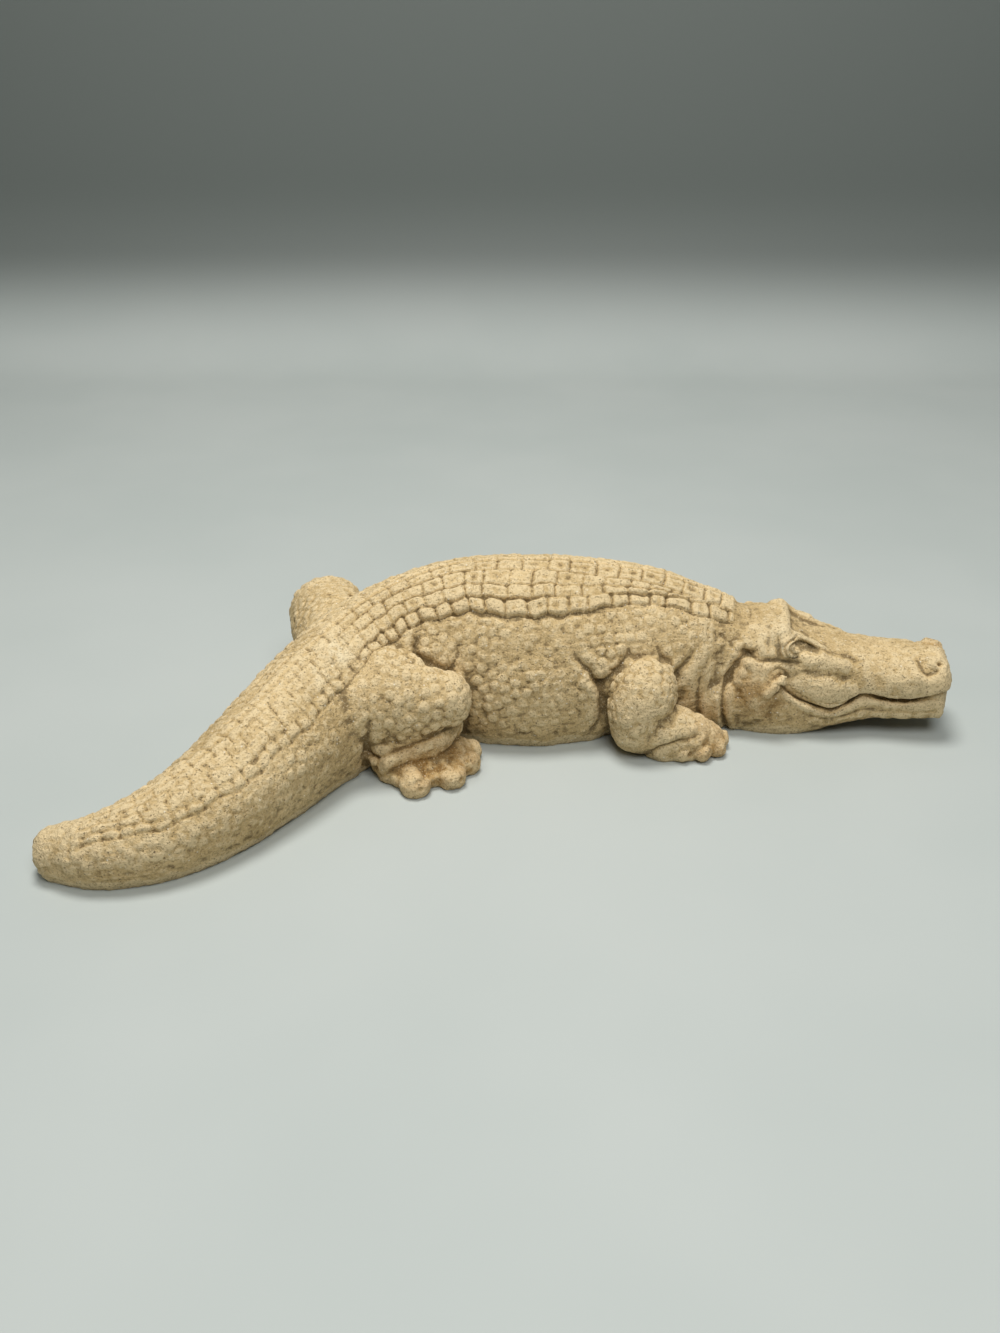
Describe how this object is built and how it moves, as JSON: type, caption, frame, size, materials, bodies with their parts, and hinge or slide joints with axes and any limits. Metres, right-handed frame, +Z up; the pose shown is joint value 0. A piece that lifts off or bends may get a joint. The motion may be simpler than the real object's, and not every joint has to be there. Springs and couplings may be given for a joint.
{
  "type": "alligator garden statue",
  "caption": "Small cast-stone alligator lying on its belly, tail swung aside, with rows of raised back scutes, folded legs and a long closed snout.",
  "frame": {"origin": "bottom centre of the bounding box, on the ground plane that the statue rests on", "axes": "+X towards the head, along the longest extent; +Z up from the flat underside, the shortest extent; the tail swings to -Y"},
  "size_m": [0.36, 0.184, 0.071],
  "materials": {
    "cast_stone": "rough, sandy, unglazed"
  },
  "bodies": {
    "root": {"alligator": "cast_stone"}
  },
  "joints": []
}
